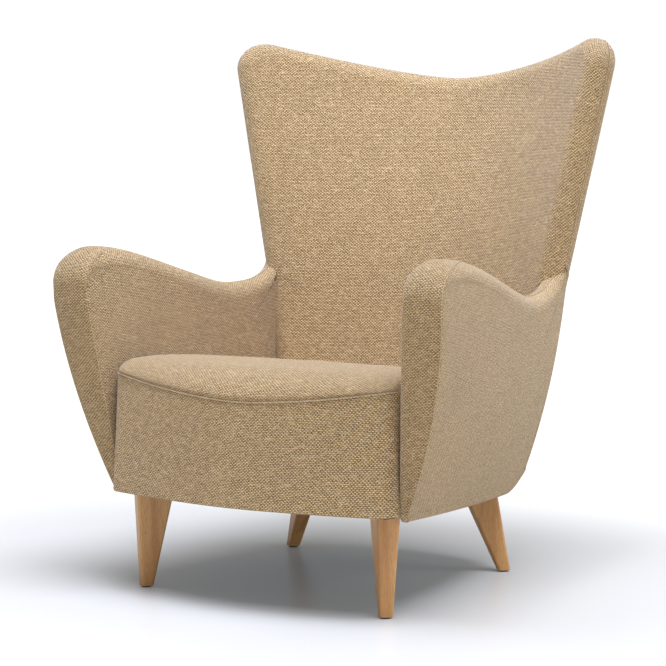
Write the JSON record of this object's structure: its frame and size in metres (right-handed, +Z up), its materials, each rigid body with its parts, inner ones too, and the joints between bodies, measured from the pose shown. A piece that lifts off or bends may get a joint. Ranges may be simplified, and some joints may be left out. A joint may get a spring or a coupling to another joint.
{
  "type": "armchair",
  "caption": "Upholstered fireside chair with a hollow winged back, flared rolled arms, a fixed sprung seat and tapered oak legs.",
  "frame": {"origin": "centre of the bounding box at floor level, under the chair", "axes": "+Z up, the front of the chair faces -Y, +X is the sitter's left and the plane x = 0 is the plane of symmetry"},
  "size_m": [0.849, 0.879, 1.0252],
  "materials": {
    "cloth": "matte",
    "foam": "matte",
    "webbing": "matte",
    "dust_cloth": "matte",
    "steel": "satin",
    "glide_plastic": "satin",
    "oak": "satin",
    "frame_wood": "matte"
  },
  "bodies": {
    "root": {"inside_back_cover": "cloth", "outside_back_cover": "cloth", "back_foam": "foam", "inside_arm_cover_left": "cloth", "inside_arm_cover_right": "cloth", "outside_arm_cover_left": "cloth", "outside_arm_cover_right": "cloth", "arm_front_band_left": "cloth", "arm_front_band_right": "cloth", "apron_cover": "cloth", "apron_pad": "foam", "seat_cover": "cloth", "seat_foam": "foam", "arm_foam_left": "foam", "arm_foam_right": "foam", "arm_frame_left": "frame_wood", "arm_frame_right": "frame_wood", "base_front_rail": "frame_wood", "base_back_rail": "frame_wood", "base_side_rail_left": "frame_wood", "base_side_rail_right": "frame_wood", "corner_block_front_left": "frame_wood", "corner_block_front_right": "frame_wood", "corner_block_back_left": "frame_wood", "corner_block_back_right": "frame_wood", "back_post_left": "frame_wood", "back_post_right": "frame_wood", "back_crest_rail": "frame_wood", "back_middle_rail": "frame_wood", "back_lumbar_rail": "frame_wood", "back_straps": "webbing", "seat_spring_1": "steel", "seat_spring_2": "steel", "seat_spring_3": "steel", "seat_spring_4": "steel", "seat_spring_5": "steel", "spring_clips": "steel", "dust_cover": "dust_cloth", "leg_front_left": "oak", "leg_front_right": "oak", "leg_back_left": "oak", "leg_back_right": "oak", "leg_bolt_front_left": "steel", "leg_bolt_front_right": "steel", "leg_bolt_back_left": "steel", "leg_bolt_back_right": "steel", "tee_nut_front_left": "steel", "tee_nut_front_right": "steel", "tee_nut_back_left": "steel", "tee_nut_back_right": "steel", "glide_front_left": "glide_plastic", "glide_front_right": "glide_plastic", "glide_back_left": "glide_plastic", "glide_back_right": "glide_plastic"}
  },
  "joints": []
}
